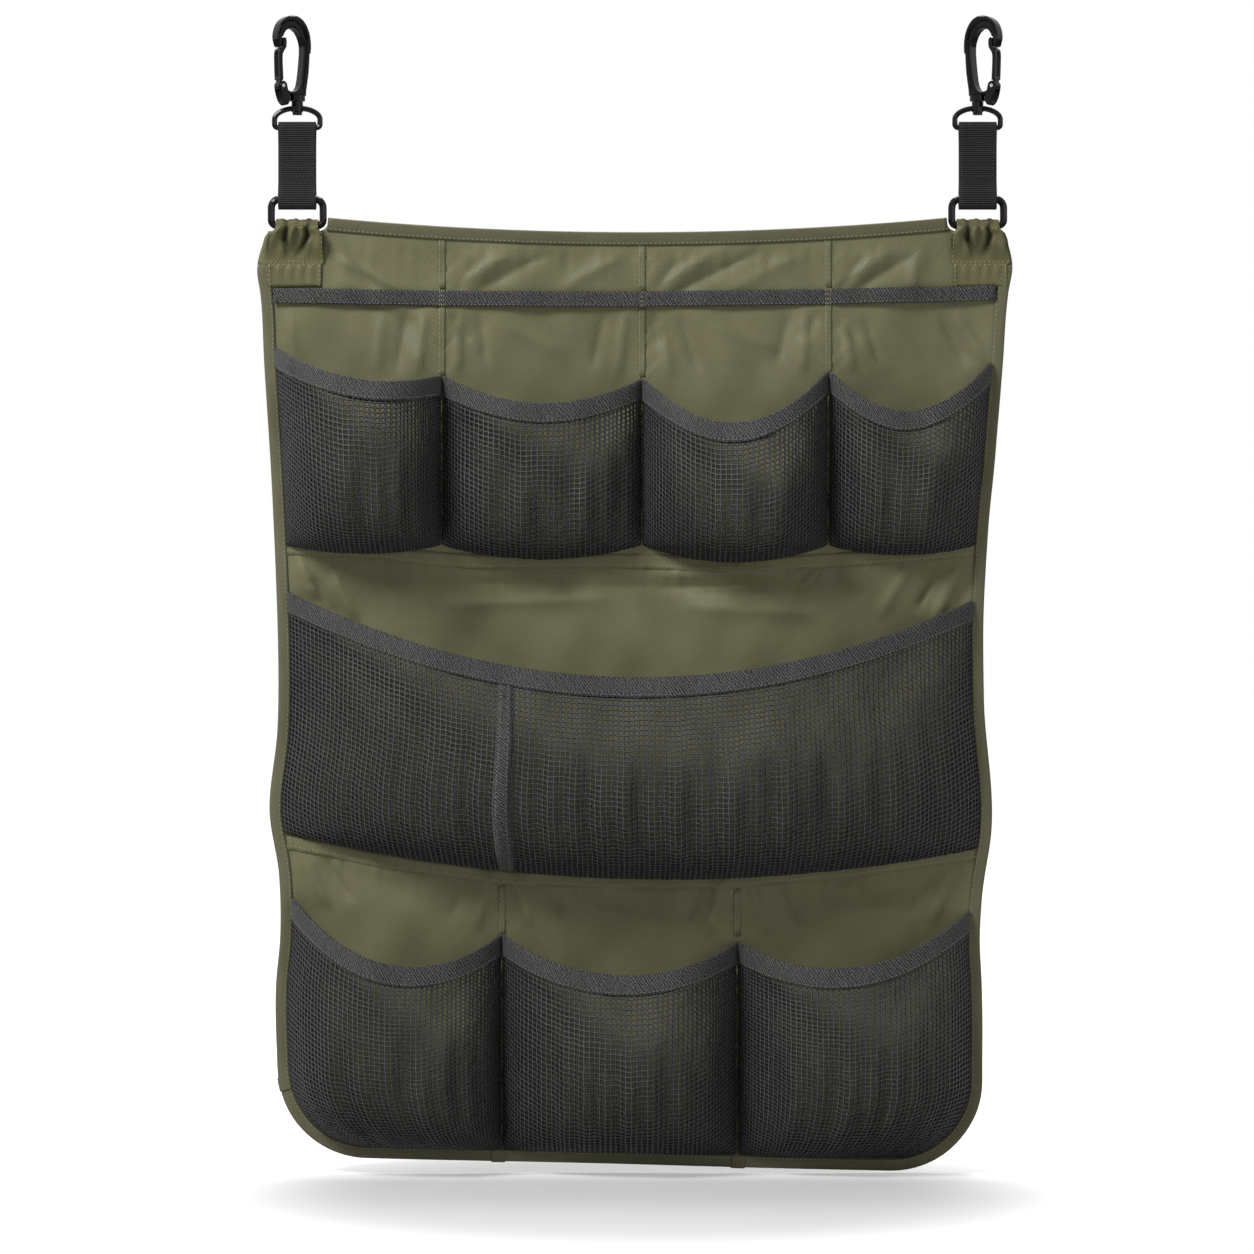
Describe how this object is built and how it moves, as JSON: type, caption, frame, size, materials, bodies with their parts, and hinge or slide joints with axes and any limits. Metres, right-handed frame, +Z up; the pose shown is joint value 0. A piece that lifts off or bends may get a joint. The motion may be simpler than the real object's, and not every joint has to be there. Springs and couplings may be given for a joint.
{
  "type": "hanging pocket organizer",
  "caption": "Flat fabric organizer with rows of net pockets on a bound panel, hung by a swivel snap hook and webbing strap at each upper corner.",
  "frame": {"origin": "midway between the two hooks, at the height of the inner top of both hooks, where they bear on what they hang from", "axes": "+Z up, -Y out of the pockets towards the user, +X to the user's right"},
  "size_m": [0.4984, 0.0705, 0.7621],
  "materials": {
    "olive_nylon": "woven nylon, matt with a slight sheen",
    "olive_tape": "woven binding tape",
    "grey_tape": "ribbed grosgrain tape",
    "black_net": "knitted polyester net",
    "black_webbing": "ribbed woven webbing",
    "black_acetal": "moulded acetal, satin",
    "steel": "drawn pin"
  },
  "bodies": {
    "swivel_eyes": {"left_swivel_eye": "black_acetal", "right_swivel_eye": "black_acetal"},
    "left_hook": {"left_hook_body": "black_acetal", "left_gate_pin": "steel"},
    "right_hook": {"right_hook_body": "black_acetal", "right_gate_pin": "steel"},
    "left_gate": {"left_hook_gate": "black_acetal"},
    "right_gate": {"right_hook_gate": "black_acetal"},
    "left_strap": {"left_strap": "black_webbing"},
    "right_strap": {"right_strap": "black_webbing"},
    "left_ring": {"left_ring": "black_acetal"},
    "right_ring": {"right_ring": "black_acetal"},
    "panel": {"back_panel": "olive_nylon", "edge_binding": "olive_tape", "top_binding": "olive_tape", "gear_loop_tape": "grey_tape", "left_tab": "olive_nylon", "right_tab": "olive_nylon", "upper_pocket_1": "black_net", "upper_pocket_2": "black_net", "upper_pocket_3": "black_net", "upper_pocket_4": "black_net", "upper_pocket_1_binding": "grey_tape", "upper_pocket_2_binding": "grey_tape", "upper_pocket_3_binding": "grey_tape", "upper_pocket_4_binding": "grey_tape", "wide_pocket": "black_net", "wide_pocket_binding": "grey_tape", "wide_pocket_tape": "grey_tape", "lower_pocket_1": "black_net", "lower_pocket_2": "black_net", "lower_pocket_3": "black_net", "lower_pocket_1_binding": "grey_tape", "lower_pocket_2_binding": "grey_tape", "lower_pocket_3_binding": "grey_tape"}
  },
  "joints": [
    {"name": "left_hook_swivel", "type": "hinge", "parent": "swivel_eyes", "child": "left_hook", "pos_m": [-0.2245, 0, 0], "axis": [0, 0, 1], "continuous": true},
    {"name": "right_hook_swivel", "type": "hinge", "parent": "swivel_eyes", "child": "right_hook", "pos_m": [0.2245, 0, 0], "axis": [0, 0, 1], "continuous": true},
    {"name": "left_gate_swing", "type": "hinge", "parent": "left_hook", "child": "left_gate", "pos_m": [-0.23482, -0.00723, -0.0386], "axis": [-0.5736, 0.8192, 0], "range_deg": [0, 22], "stiffness_Nm_per_rad": 0.05, "springref_deg": -9.74},
    {"name": "right_gate_swing", "type": "hinge", "parent": "right_hook", "child": "right_gate", "pos_m": [0.23482, -0.00723, -0.0386], "axis": [-0.5736, -0.8192, 0], "range_deg": [0, 22], "stiffness_Nm_per_rad": 0.05, "springref_deg": -9.74},
    {"name": "left_strap_swing", "type": "hinge", "parent": "swivel_eyes", "child": "left_strap", "pos_m": [-0.2245, 0, -0.06535], "axis": [1, 0, 0], "range_deg": [-75, 75]},
    {"name": "right_strap_swing", "type": "hinge", "parent": "swivel_eyes", "child": "right_strap", "pos_m": [0.2245, 0, -0.06535], "axis": [1, 0, 0], "range_deg": [-75, 75]},
    {"name": "left_ring_swing", "type": "hinge", "parent": "left_strap", "child": "left_ring", "pos_m": [-0.2245, 0, -0.11235], "axis": [-1, 0, 0], "range_deg": [-60, 60]},
    {"name": "right_ring_swing", "type": "hinge", "parent": "right_strap", "child": "right_ring", "pos_m": [0.2245, 0, -0.11235], "axis": [-1, 0, 0], "range_deg": [-60, 60]},
    {"name": "panel_swing", "type": "hinge", "parent": "left_ring", "child": "panel", "pos_m": [-0.2245, 0, -0.12995], "axis": [1, 0, 0], "range_deg": [-75, 75]}
  ],
  "couplings": [
    {"joint": "right_strap_swing", "follows": "left_strap_swing", "ratio": 1},
    {"joint": "right_ring_swing", "follows": "left_ring_swing", "ratio": 1}
  ]
}
